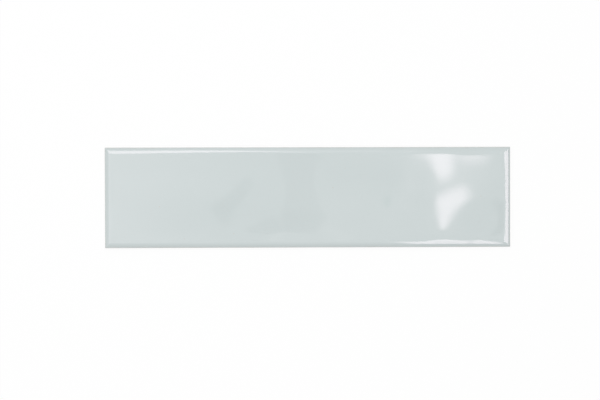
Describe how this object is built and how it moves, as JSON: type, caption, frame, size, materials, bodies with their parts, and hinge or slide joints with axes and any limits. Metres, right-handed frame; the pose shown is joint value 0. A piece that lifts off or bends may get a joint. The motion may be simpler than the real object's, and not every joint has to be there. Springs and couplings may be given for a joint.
{
  "type": "glazed wall tile",
  "caption": "Long rectangular pressed wall tile with softly swelling glossy glaze, rolled face edges and a keyed back.",
  "frame": {"origin": "middle of the back, in the plane of the ribs that the tile rests on", "axes": "+X along the tile, +Y across it, +Z out of the glazed face"},
  "size_m": [0.299, 0.074, 0.0085],
  "materials": {
    "glaze": "gloss"
  },
  "bodies": {
    "root": {"glazed_tile": "glaze"}
  },
  "joints": []
}
